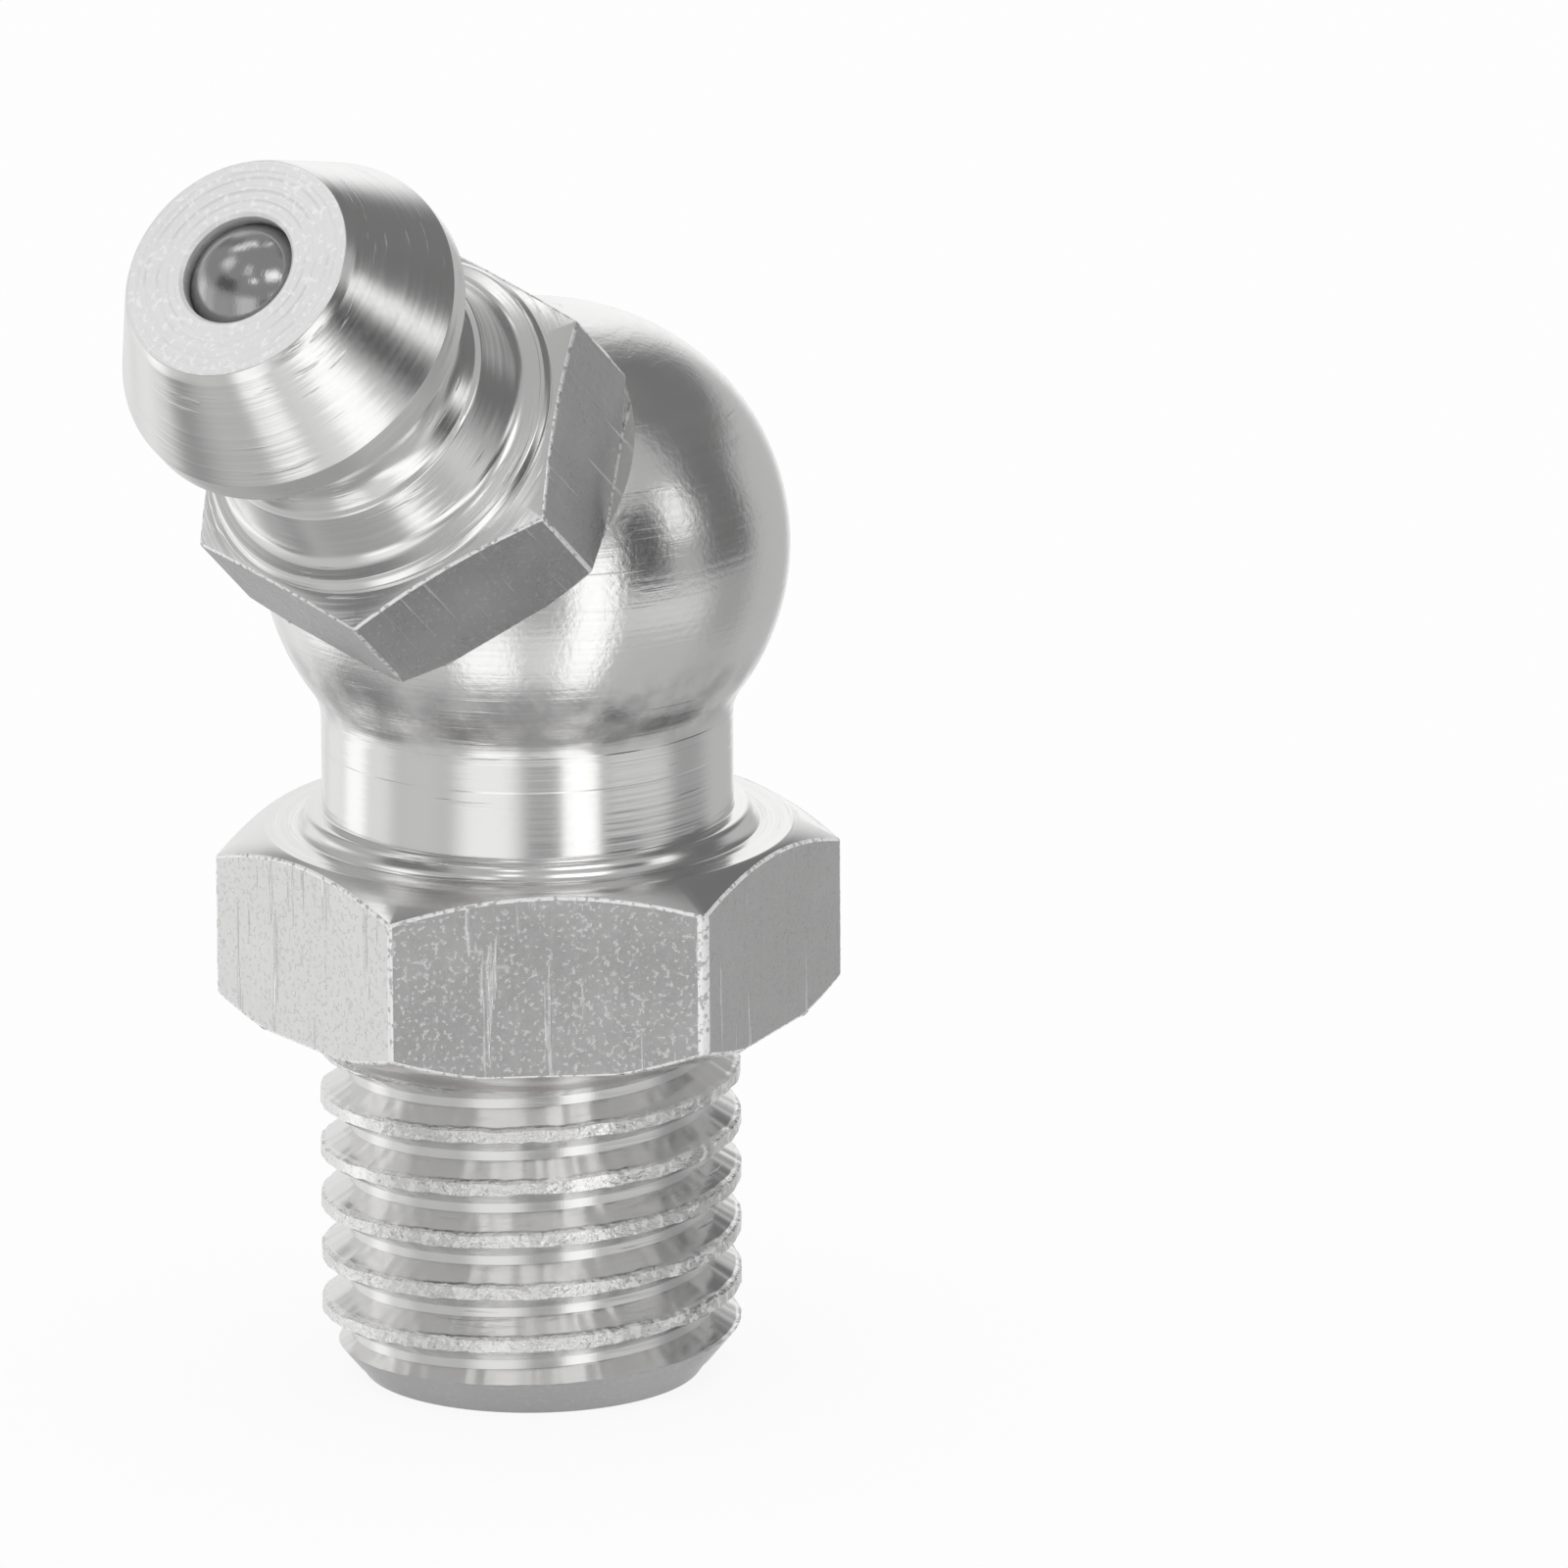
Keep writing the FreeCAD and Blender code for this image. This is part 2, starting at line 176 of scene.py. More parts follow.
def turned(name, points, around=AROUND):
    """A solid of revolution about +Z: the profile starts and ends on the axis."""
    form = bmesh.new()
    turn = 2 * math.pi
    rings = []
    for radius, height in points:
        if abs(radius) < ON_AXIS:
            rings.append([form.verts.new((0, 0, height))])
        else:
            rings.append([form.verts.new((radius * math.cos(turn * k / around),
                                          radius * math.sin(turn * k / around), height))
                          for k in range(around)])
    for low, high in zip(rings, rings[1:]):
        for k in range(around):
            following = (k + 1) % around
            if len(low) == 1:
                form.faces.new((low[0], high[following], high[k]))
            elif len(high) == 1:
                form.faces.new((low[k], low[following], high[0]))
            else:
                form.faces.new((low[k], low[following], high[following], high[k]))
    bmesh.ops.recalc_face_normals(form, faces=form.faces)
    return add_mesh(name, form)


def report(piece):
    """Print how many triangles a piece has, and whether it is closed."""
    form = bmesh.new()
    form.from_mesh(piece.data)
    open_edges = sum(1 for edge in form.edges if len(edge.link_faces) != 2)
    triangles = sum(len(face.verts) - 2 for face in form.faces)
    print("%-22s %6d triangles, %d open edges, volume %.2f mm3"
          % (piece.name, triangles, open_edges, form.calc_volume() / MM ** 3))
    form.free()


print("one ring has %d points, %.2f degrees apart" % (AROUND, 360 / AROUND))

# %% [markdown]
# ## The turned elbow body
#
# Shank, seat, neck and ball are one profile. The ball isn't quite a ball: its outline
# is an arc whose centre lies a little off the axis, so it is slightly wider than it is
# high, and it runs into the neck with a hollow fillet. The radii of the thread and of
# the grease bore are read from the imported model, so the two can't drift apart.

# %% Elbow body blank
THREAD_RADIUS = MOUNT_SIZES["thread"]["r_mm"] * MM
ROOT_RADIUS = 3.37 * MM
END_RADIUS = 3.13 * MM
END_CHAMFER = 0.35 * MM
SEAT_HEIGHT = 6.97 * MM
SEAT_FILLET = 0.18 * MM
TOP_HEIGHT = 10.45 * MM
CORE_RADIUS = 4.6 * MM
CORE_INSET = 0.1 * MM
FOOT_RADIUS = 4.1 * MM
FOOT_TOP = 10.77 * MM
FOOT_FLARE = 0.1 * MM
FOOT_FILLET = 0.3 * MM
FOOT_EDGE = 0.2 * MM
NECK_RADIUS = 3.79 * MM
BREAK = 0.03 * MM
BALL_HEIGHT = 15.75 * MM
BALL_ARC = 4.43 * MM
BALL_OFFSET = 0.43 * MM
BALL_FILLET = 1.0 * MM
BALL_STEPS = 64
FILLET_STEPS = 8


def elbow_profile():
    """The turned outline without hexagon, thread and holes."""
    reach = NECK_RADIUS + BALL_FILLET - BALL_OFFSET
    drop = math.sqrt((BALL_ARC + BALL_FILLET) ** 2 - reach ** 2)
    meets = math.degrees(math.atan2(-drop, reach))
    fillet_centre = (NECK_RADIUS + BALL_FILLET, BALL_HEIGHT - drop)
    shank = soften([
        (0, 0, 0),
        (END_RADIUS, 0, BREAK),
        (ROOT_RADIUS, END_CHAMFER, BREAK),
        (ROOT_RADIUS, SEAT_HEIGHT, SEAT_FILLET),
        (CORE_RADIUS, SEAT_HEIGHT + CORE_INSET, 0),
        (CORE_RADIUS, TOP_HEIGHT - CORE_INSET, 0),
        (FOOT_RADIUS + FOOT_FLARE, TOP_HEIGHT, FOOT_FILLET),
        (FOOT_RADIUS, FOOT_TOP, FOOT_EDGE),
        (NECK_RADIUS, FOOT_TOP, BREAK),
        (NECK_RADIUS, fillet_centre[1], 0),
    ])
    fillet = arc(fillet_centre, BALL_FILLET, 180, 180 + meets, FILLET_STEPS)
    ball = arc((BALL_OFFSET, BALL_HEIGHT), BALL_ARC, meets, 90, BALL_STEPS)
    return shank[:-1] + fillet + ball[1:] + [Vector((0, BALL_HEIGHT + BALL_ARC))]


elbow = turned("elbow_turned", elbow_profile())
report(elbow)

# %% [markdown]
# ## Milled hexagons
#
# Both hexagons start as a turned disc whose two faces are chamfered by the lathe. The
# six flats cut the disc, and the cone of the chamfer leaves a curved edge on every
# flat. Such an edge is hard to draw by hand, so the script repeats the real steps: it
# keeps what a disc and a six-sided prism have in common. Each sharp edge is then
# bevelled by a few hundredths of a millimetre, a thin edge that catches the light; its
# bright line is partly a painted highlight in the edges' finish.

# %% Boolean helper
def keep_result(piece):
    """Turn a piece with its live modifiers into a plain mesh."""
    bpy.context.view_layer.update()
    graph = bpy.context.evaluated_depsgraph_get()
    result = bpy.data.meshes.new_from_object(piece.evaluated_get(graph), depsgraph=graph)
    piece.modifiers.clear()
    old = piece.data
    piece.data = result
    bpy.data.meshes.remove(old)


def combine(piece, other, how):
    """Join, cut or keep the common part of two solids, and delete the second."""
    modifier = piece.modifiers.new(how.lower(), "BOOLEAN")
    modifier.operation = how
    modifier.solver = "EXACT"
    modifier.object = other
    keep_result(piece)
    bpy.data.meshes.remove(other.data)


# %% Hexagon helper
EDGE = 0.045 * MM
EDGE_STEPS = 3
CORNER_STEPS = 6
SHARP = math.radians(16)
SAME_PLACE = 1e-3 * MM


def hexagon(name, disc, width, turn, low, high, corner_rounding):
    """The disc's profile cut by six flats with rounded corners, and its edges softened."""
    piece = turned(name, disc)
    reach = width / 2 / math.cos(math.pi / 6)
    corners = []
    for number, rounding in enumerate(corner_rounding):
        angle = math.radians(turn + 60 * number)
        corners.append((reach * math.cos(angle), reach * math.sin(angle), rounding))
    outline = soften(corners, CORNER_STEPS)
    form = bmesh.new()
    bottom = [form.verts.new((*point, low)) for point in outline]
    top = [form.verts.new((*point, high)) for point in outline]
    form.faces.new(bottom[::-1])
    form.faces.new(top)
    for k in range(len(outline)):
        following = (k + 1) % len(outline)
        form.faces.new((bottom[k], bottom[following], top[following], top[k]))
    combine(piece, add_mesh(name + "_prism", form), "INTERSECT")
    form = bmesh.new()
    form.from_mesh(piece.data)
    bmesh.ops.remove_doubles(form, verts=form.verts, dist=SAME_PLACE)
    sharp = [edge for edge in form.edges
             if len(edge.link_faces) == 2 and edge.calc_face_angle() > SHARP]
    bmesh.ops.bevel(form, geom=sharp, offset=EDGE, segments=EDGE_STEPS, profile=0.5,
                    affect="EDGES", clamp_overlap=False, harden_normals=False)
    form.to_mesh(piece.data)
    form.free()
    return piece


print("sharp edges get a bevel of %.3f mm" % (EDGE / MM))

# %% [markdown]
# ## The large hexagon
#
# This is where the spanner goes: 10 mm across the flats. It is turned a few degrees
# off the plane in which the head leans, because the head is pressed in at any angle.
# Five of its corners are nearly sharp. The sixth is rounded more, and shows as a wide
# bright line in the photograph.

# %% Large hexagon
HEX_WIDTH = 10.0 * MM
HEX_TURN = 7.25
HEX_BLANK = 5.88 * MM
TOP_LAND = 4.87 * MM
TOP_EDGE = 0.05 * MM
SEAT_LAND = 5.15 * MM
CHAMFER = math.tan(math.radians(30))
SHARP_CORNER = 0.1 * MM
WIDE_CORNER = 0.26 * MM
CORNERS = [SHARP_CORNER] * 4 + [WIDE_CORNER, SHARP_CORNER]

hexagon_disc = soften([
    (0, SEAT_HEIGHT, 0),
    (SEAT_LAND, SEAT_HEIGHT, 0),
    (HEX_BLANK, SEAT_HEIGHT + (HEX_BLANK - SEAT_LAND) * CHAMFER, 0),
    (HEX_BLANK, TOP_HEIGHT - (HEX_BLANK - TOP_LAND) * CHAMFER, 0),
    (TOP_LAND, TOP_HEIGHT, TOP_EDGE),
    (0, TOP_HEIGHT, 0),
])
large_hexagon = hexagon("large_hexagon", hexagon_disc, HEX_WIDTH, HEX_TURN,
                        SEAT_HEIGHT - MM, TOP_HEIGHT + MM, CORNERS)
report(large_hexagon)

# %% [markdown]
# ## The thread, by Geometry Nodes
#
# A thread follows one rule all the way up, so a node tree makes it: a spiral of one
# turn per pitch, with a trapezium swept along it. A bump could only fake it, and the
# outline would stay straight. The trapezium reaches a little way into the shank, and
# its top is the narrow flat of the crest. The crests are then moved a few hundredths
# of a millimetre by noise, because the die tore them a little.

# %% Node helpers
def new_tree(name, inputs):
    """A Geometry Nodes tree with its inputs, and its group input and output nodes."""
    tree = bpy.data.node_groups.new(name, "GeometryNodeTree")
    for label, kind in inputs:
        tree.interface.new_socket(label, in_out="INPUT", socket_type=kind)
    tree.interface.new_socket("Geometry", in_out="OUTPUT", socket_type="NodeSocketGeometry")
    return tree, tree.nodes.new("NodeGroupInput"), tree.nodes.new("NodeGroupOutput")


def add_node(tree, kind, settings=(), places=(), **names):
    """Any node: its settings first, then its sockets' values or links, by place and by name."""
    node = tree.nodes.new(kind)
    for name, value in dict(settings).items():
        setattr(node, name, value)
    sockets = {**dict(places), **{name.replace("_", " "): value for name, value in names.items()}}
    for key, value in sockets.items():
        value = getattr(value, "socket", value)
        if isinstance(value, bpy.types.NodeSocket):
            tree.links.new(value, node.inputs[key])
        else:
            node.inputs[key].default_value = value
    return node


def run_tree(name, tree, values):
    """Run a tree on an empty mesh with its inputs set, and keep a plain mesh."""
    carrier = bpy.data.objects.new(name, bpy.data.meshes.new(name))
    bpy.context.scene.collection.objects.link(carrier)
    modifier = carrier.modifiers.new("rule", "NODES")
    modifier.node_group = tree
    for item in tree.interface.items_tree:
        if item.item_type == "SOCKET" and item.in_out == "INPUT":
            modifier[item.identifier] = values[item.name]
    keep_result(carrier)
    return carrier


# %% Coil rule
WIRE_SIDES = 12


def coil_tree(name, section):
    """A spiral with a section swept along it: the tree of the thread and of the spring."""
    tree, given, result = new_tree(name, [
        ("Turns", "NodeSocketFloat"), ("Steps", "NodeSocketInt"), ("Radius", "NodeSocketFloat"),
        ("Height", "NodeSocketFloat"), ("Bottom", "NodeSocketFloat"), ("Top", "NodeSocketFloat"),
        ("Depth", "NodeSocketFloat"), ("Material", "NodeSocketMaterial")])
    spiral = add_node(tree, "GeometryNodeCurveSpiral", Resolution=given.outputs["Steps"],
                      Rotations=given.outputs["Turns"], Start_Radius=given.outputs["Radius"],
                      End_Radius=given.outputs["Radius"], Height=given.outputs["Height"],
                      Reverse=True)
    upright = add_node(tree, "GeometryNodeSetCurveNormal", {"mode": "Z_UP"},
                       Curve=spiral.outputs["Curve"])
    if section == "trapezium":
        profile = add_node(tree, "GeometryNodeCurvePrimitiveQuadrilateral", {"mode": "TRAPEZOID"},
                           Bottom_Width=given.outputs["Bottom"], Top_Width=given.outputs["Top"],
                           Height=given.outputs["Depth"], Offset=0.0)
    else:
        profile = add_node(tree, "GeometryNodeCurvePrimitiveCircle", Resolution=WIRE_SIDES,
                           Radius=given.outputs["Depth"])
    outward = add_node(tree, "GeometryNodeTransform", Geometry=profile.outputs["Curve"],
                       Rotation=(0, 0, -math.pi / 2))
    swept = add_node(tree, "GeometryNodeCurveToMesh", Curve=upright.outputs["Curve"],
                     Profile_Curve=outward.outputs["Geometry"], Fill_Caps=True)
    whole = add_node(tree, "GeometryNodeRealizeInstances", Geometry=swept.outputs["Mesh"])
    dressed = add_node(tree, "GeometryNodeSetMaterial", Geometry=whole.outputs["Geometry"],
                       Material=given.outputs["Material"])
    tree.links.new(dressed.outputs["Geometry"], result.inputs["Geometry"])
    print("%s: %d nodes" % (name, len(tree.nodes)))
    return tree


# %% Thread
PITCH = 1.0 * MM
THREAD_TURNS = 8
THREAD_STEPS = 72 * THREAD_TURNS
CREST_WIDTH = 0.22 * MM
FLANK = math.tan(math.radians(30))
THREAD_START = -0.07 * MM
SUNK = 0.05 * MM
SLACK = 0.01 * MM
TORN = 0.035 * MM
TORN_ALONG = 3.1
TORN_INWARDS = 2.3

ridge = THREAD_RADIUS - ROOT_RADIUS + SUNK
thread = run_tree("thread", coil_tree("thread_rule", "trapezium"), {
    "Turns": THREAD_TURNS, "Steps": THREAD_STEPS, "Radius": THREAD_RADIUS - ridge / 2,
    "Height": PITCH * THREAD_TURNS, "Bottom": CREST_WIDTH + 2 * ridge * FLANK,
    "Top": CREST_WIDTH, "Depth": ridge, "Material": None})
thread.data.transform(Matrix.Translation((0, 0, THREAD_START)))
for vert in thread.data.vertices:
    if vert.co.xy.length > THREAD_RADIUS - SLACK:
        where = vert.co / MM
        vert.co.z += TORN * noise.noise(where * TORN_ALONG)
        inwards = 0.5 + 0.5 * noise.noise(where * TORN_INWARDS)
        vert.co.xy *= 1 - TORN / THREAD_RADIUS * inwards
report(thread)

# %% [markdown]
# ## Trimming the thread and joining the body
#
# The lathe's chamfer at the end and the relief groove below the hexagon bound the
# thread, so it keeps only what lies inside a turned envelope. Shank, thread and
# hexagon could be left as shells that overlap, but then no edge between them would be
# true. They are joined into one closed solid, and the holes are cut into that.

# %% Trimmed thread
TIP_HEIGHT = 0.95 * MM
RELIEF_START = 6.57 * MM
RUN_OUT = 0.3 * MM

envelope = turned("thread_envelope", [
    Vector((0, 0)), Vector((END_RADIUS, 0)),
    Vector((THREAD_RADIUS + SLACK, TIP_HEIGHT)),
    Vector((THREAD_RADIUS + SLACK, RELIEF_START - RUN_OUT)),
    Vector((ROOT_RADIUS, RELIEF_START)), Vector((0, RELIEF_START))])
combine(thread, envelope, "INTERSECT")
report(thread)

combine(elbow, thread, "UNION")
combine(elbow, large_hexagon, "UNION")

# %% Grease bore
BORE_RADIUS = MOUNT_SIZES["grease_bore"]["r_mm"] * MM
BORE_DEPTH = MOUNT_SIZES["grease_bore"]["length_mm"] * MM
BORE_EDGE = 0.06 * MM
TIP_ANGLE = 118

tip = BORE_RADIUS / math.tan(math.radians(TIP_ANGLE / 2))
grease_bore = turned("bore_cutter", [
    Vector((0, -MM)), Vector((BORE_RADIUS + BORE_EDGE + MM, -MM)),
    Vector((BORE_RADIUS, BORE_EDGE)), Vector((BORE_RADIUS, BORE_DEPTH)),
    Vector((0, BORE_DEPTH + tip))], around=HOLE_AROUND)
combine(elbow, grease_bore, "DIFFERENCE")
report(elbow)

# %% [markdown]
# ## Where the head sits
#
# The head has its own axis, which leans away from the shank's by 49 and a half
# degrees. Everything on it is made upright and then moved by one matrix, so a later
# change of the lean stays a change of one number. The ball gets a spot face that the
# small hexagon lies on, a socket for the spigot and a passage for the grease.

# %% Spot face and socket
TILT = math.radians(49.45)
HEAD_ORIGIN = Vector((-0.898 * MM, 0, BALL_HEIGHT))
SEAT = 2.4 * MM
SPOTFACE_RADIUS = 4.3 * MM
SPOTFACE_REACH = 4 * MM
SPIGOT_RADIUS = 2.5 * MM
SPIGOT_END = 0.2 * MM
SOCKET_END = -0.1 * MM
PASSAGE_RADIUS = 1.5 * MM
PASSAGE_END = -2.4 * MM

head_axis = Vector((-math.sin(TILT), 0, math.cos(TILT)))
head_side = Vector((math.cos(TILT), 0, math.sin(TILT)))
head_frame = Matrix.Translation(HEAD_ORIGIN) @ Matrix(
    (head_side, Vector((0, 1, 0)), head_axis)).transposed().to_4x4()

head_cutter = turned("socket_cutter", [
    Vector((0, PASSAGE_END)), Vector((PASSAGE_RADIUS, PASSAGE_END)),
    Vector((PASSAGE_RADIUS, SOCKET_END)), Vector((SPIGOT_RADIUS, SOCKET_END)),
    Vector((SPIGOT_RADIUS, SEAT)), Vector((SPOTFACE_RADIUS, SEAT)),
    Vector((SPOTFACE_RADIUS, SEAT + SPOTFACE_REACH)), Vector((0, SEAT + SPOTFACE_REACH))],
    around=HOLE_AROUND)
head_cutter.data.transform(head_frame)
combine(elbow, head_cutter, "DIFFERENCE")
elbow.name = "elbow"
report(elbow)

# %% [markdown]
# ## The head
#
# The head is turned about its own axis: spigot, small hexagon, collar bead, shoulder,
# a hollow waist, the rim that the coupler grips, the nose cone and the face with its
# mouth. It could be several pieces, but the real one is cut from one bar, so it is one
# profile with its own hexagon joined to it and a stepped chamber cut from behind.

# %% Head outline
SPIGOT_EDGE = 0.1 * MM
SMALL_HEX_FRONT = 4.96 * MM
HEAD_CORE = 3.0 * MM
FRONT_LAND = 3.4 * MM
BEAD_RADIUS = 3.43 * MM
BEAD_RISE = 0.13 * MM
BEAD_LENGTH = 0.25 * MM
BEAD_ROUND = 0.1 * MM
COLLAR_RADIUS = 3.35 * MM
COLLAR_FRONT = 5.25 * MM
GROOVE_RADIUS = 3.28 * MM
GROOVE_LIP = 3.32 * MM
GROOVE_WIDTH = 0.04 * MM
SHOULDER_RADIUS = 2.97 * MM
SHOULDER_START = 0.16 * MM
SHOULDER_FRONT = 6.52 * MM
SHOULDER_TOP = 2.71 * MM
LEDGE_RADIUS = 2.61 * MM
LEDGE_HEIGHT = 0.05 * MM
WAIST_RADIUS = 2.43 * MM
WAIST_BACK = 6.95 * MM
WAIST_FRONT = 7.401 * MM
WAIST_FILLET = 0.9 * MM
HOLLOW = 0.5 * MM
RIM_RADIUS = MOUNT_SIZES["coupler_rim"]["r_mm"] * MM
RIM_BACK = 8.45 * MM
RIM_FRONT = 8.93 * MM
RIM_EDGE = 0.04 * MM
SOFT_EDGE = 0.06 * MM
FINE_EDGE = 0.02 * MM
NOSE_END = 11.08 * MM
NOSE_RADIUS = 2.18 * MM
NOSE_CONE = math.tan(math.radians(27.2))
NOSE_BEVEL = 0.12 * MM

cone_end = NOSE_RADIUS + NOSE_BEVEL
cone_top = RIM_FRONT + (RIM_RADIUS - cone_end) / NOSE_CONE
head = turned("head", soften([
    (0, SPIGOT_END, 0),
    (SPIGOT_RADIUS, SPIGOT_END, SPIGOT_EDGE),
    (SPIGOT_RADIUS, SEAT, 0),
    (HEAD_CORE, SEAT + CORE_INSET, 0),
    (HEAD_CORE, SMALL_HEX_FRONT - CORE_INSET, 0),
    (FRONT_LAND, SMALL_HEX_FRONT, 0),
    (BEAD_RADIUS, SMALL_HEX_FRONT + BEAD_RISE, BEAD_ROUND),
    (COLLAR_RADIUS, SMALL_HEX_FRONT + BEAD_LENGTH, SOFT_EDGE),
    (GROOVE_RADIUS, COLLAR_FRONT, 0),
    (GROOVE_LIP, COLLAR_FRONT + GROOVE_WIDTH, FINE_EDGE),
    (SHOULDER_RADIUS, COLLAR_FRONT + SHOULDER_START, HOLLOW),
    (SHOULDER_TOP, SHOULDER_FRONT, SOFT_EDGE),
    (LEDGE_RADIUS, SHOULDER_FRONT + LEDGE_HEIGHT, FINE_EDGE),
    (WAIST_RADIUS, WAIST_BACK, HOLLOW),
    (WAIST_RADIUS, WAIST_FRONT, WAIST_FILLET),
    (RIM_RADIUS, RIM_BACK, SOFT_EDGE),
    (RIM_RADIUS, RIM_FRONT, RIM_EDGE),
    (cone_end, cone_top, BREAK),
    (NOSE_RADIUS, NOSE_END, BREAK),
    (0, NOSE_END, 0),
]))
report(head)

# %% Small hexagon
SMALL_HEX_WIDTH = 7.0 * MM
SMALL_HEX_TURN = 13.0
SMALL_BLANK = 4.09 * MM
SMALL_LAND = 3.38 * MM
SMALL_CHAMFER = math.tan(math.radians(20))
SMALL_BACK_LAND = 3.64 * MM
SMALL_BACK_CHAMFER = math.tan(math.radians(30))
SMALL_CORNERS = [0.09 * MM] * 6

small_disc = soften([
    (0, SEAT, 0),
    (SMALL_BACK_LAND, SEAT, 0),
    (SMALL_BLANK, SEAT + (SMALL_BLANK - SMALL_BACK_LAND) * SMALL_BACK_CHAMFER, 0),
    (SMALL_BLANK, SMALL_HEX_FRONT - (SMALL_BLANK - SMALL_LAND) * SMALL_CHAMFER, 0),
    (SMALL_LAND, SMALL_HEX_FRONT, FINE_EDGE),
    (0, SMALL_HEX_FRONT, 0),
])
small_hexagon = hexagon("small_hexagon", small_disc, SMALL_HEX_WIDTH, SMALL_HEX_TURN,
                        SEAT - MM, SMALL_HEX_FRONT + MM, SMALL_CORNERS)
combine(head, small_hexagon, "UNION")
report(head)

# %% Mouth and valve chamber
MOUTH_RADIUS = 1.08 * MM
MOUTH_EDGE = 0.06 * MM
MOUTH_END = 10.74 * MM
CHAMBER_RADIUS = 1.4 * MM
SEAT_CONE = math.tan(math.radians(28))
LIP_FRONT = 0.55 * MM
LIP_HOLE = 0.75 * MM

cone_foot = MOUTH_END - (CHAMBER_RADIUS - MOUTH_RADIUS) / SEAT_CONE
chamber = turned("chamber_cutter", [
    Vector((0, SPIGOT_END - MM)), Vector((LIP_HOLE, SPIGOT_END - MM)),
    Vector((LIP_HOLE, LIP_FRONT)), Vector((CHAMBER_RADIUS, LIP_FRONT)),
    Vector((CHAMBER_RADIUS, cone_foot)), Vector((MOUTH_RADIUS, MOUTH_END)),
    Vector((MOUTH_RADIUS, NOSE_END - MOUTH_EDGE)),
    Vector((MOUTH_RADIUS + MOUTH_EDGE + MM, NOSE_END + MM)), Vector((0, NOSE_END + MM))],
    around=HOLE_AROUND)
combine(head, chamber, "DIFFERENCE")
head.data.transform(head_frame)
report(head)

# %% [markdown]
# ## The valve behind the mouth
#
# The check ball closes the mouth from inside, and a coil spring holds it there. The
# spring could be a bent curve with a round bevel, but the thread's node tree already
# makes coils, so it is run again with a round section. The ball is turned, with its
# poles on the head's axis, so that it needs few faces and stays closed.

# %% Check ball and spring
BALL_RADIUS = 1.25 * MM
BALL_CENTRE = 10.093 * MM
POLE_GAP = 3
BALL_RINGS = 58
WIRE_RADIUS = 0.14 * MM
SPRING_RADIUS = 0.91 * MM
SPRING_TURNS = 5
SPRING_STEPS = 72
SPRING_START = 0.71 * MM
SPRING_END = 9.02 * MM

sphere = arc((0, 0), BALL_RADIUS, POLE_GAP - 90, 90 - POLE_GAP, BALL_RINGS)
ball = turned("ball", [Vector((0, -BALL_RADIUS)), *sphere, Vector((0, BALL_RADIUS))],
              around=HOLE_AROUND)
ball.data.transform(head_frame @ Matrix.Translation((0, 0, BALL_CENTRE)))
report(ball)

spring = run_tree("spring", coil_tree("spring_rule", "round"), {
    "Turns": SPRING_TURNS, "Steps": SPRING_STEPS, "Radius": SPRING_RADIUS,
    "Height": SPRING_END - SPRING_START - 2 * WIRE_RADIUS, "Bottom": 0, "Top": 0,
    "Depth": WIRE_RADIUS, "Material": None})
spring.data.transform(head_frame @ Matrix.Translation((0, 0, SPRING_START + WIRE_RADIUS)))
report(spring)

# %% [markdown]
# ## Smooth shading
#
# Turned steel is smooth round the axis and has crisp edges along it. Smooth shading
# with edges marked sharp by their angle gives both, and weighted normals keep the
# broad faces flat, so that all the bending happens in the thin softened edges.

# %% Smooth shading
SHARP_FROM = 28
COIL_SHARP_FROM = 60


def smooth(piece, angle=SHARP_FROM):
    """Smooth shading with sharp edges kept, and normals weighted towards large faces."""
    piece.data.shade_smooth()
    piece.data.set_sharp_from_angle(angle=math.radians(angle))
    piece.modifiers.new("weighted", "WEIGHTED_NORMAL").keep_sharp = True
    keep_result(piece)
    print("%s is smooth up to %d degrees" % (piece.name, angle))


smooth(elbow)
smooth(head)
smooth(ball)
smooth(spring, COIL_SHARP_FROM)

# %% [markdown]
# ## Which surface got which finish
#
# One piece of steel carries several finishes: turned, drawn flat, faced end, worn edge with a
# painted highlight.
# Masks in one big material could tell them apart, but the face itself knows it already:
# each one gets a material slot by where it lies and which way it looks.

# %% Slots by place and direction
TURNED, DRAWN, FACED, WORN_HIGHLIT = range(4)
FLAT_ANGLE = 0.5
CORNER_REACH = 1.1
EDGE_REACH = 1.05
UPRIGHT_FACE = 0.02
STEEP_FACE = 0.3
FACING_DOWN = -0.5
FACING_FRONT = 0.99
END_HEIGHT = 0.6 * MM
upright = head_frame.inverted()


def from_flat(angle):
    """Degrees from the nearest of six directions, 60 degrees apart."""
    return (angle + 30) % 60 - 30


def hexagon_slot(centre, normal, turn, width, low, high):
    """DRAWN on the six flats, WORN_HIGHLIT on the softened edges next to them, or nothing."""
    if not low - SLACK < centre.z < high + SLACK:
        return None
    place = from_flat(math.degrees(math.atan2(centre.y, centre.x)) - turn - 30)
    facing = from_flat(math.degrees(math.atan2(normal.y, normal.x)) - turn - 30)
    gap = width / 2 - centre.xy.length * math.cos(math.radians(place))
    if abs(normal.z) < UPRIGHT_FACE and abs(facing) < FLAT_ANGLE and gap < SLACK:
        return DRAWN
    on_corner = abs(normal.z) < STEEP_FACE and centre.xy.length > width / 2 * CORNER_REACH
    return WORN_HIGHLIT if gap < EDGE_REACH * EDGE or on_corner else None


def sort_elbow(centre, normal):
    """The slot of a face of the elbow body."""
    found = hexagon_slot(centre, normal, HEX_TURN, HEX_WIDTH, SEAT_HEIGHT, TOP_HEIGHT)
    if found is not None:
        return found
    return FACED if centre.z < END_HEIGHT and normal.z < FACING_DOWN else TURNED


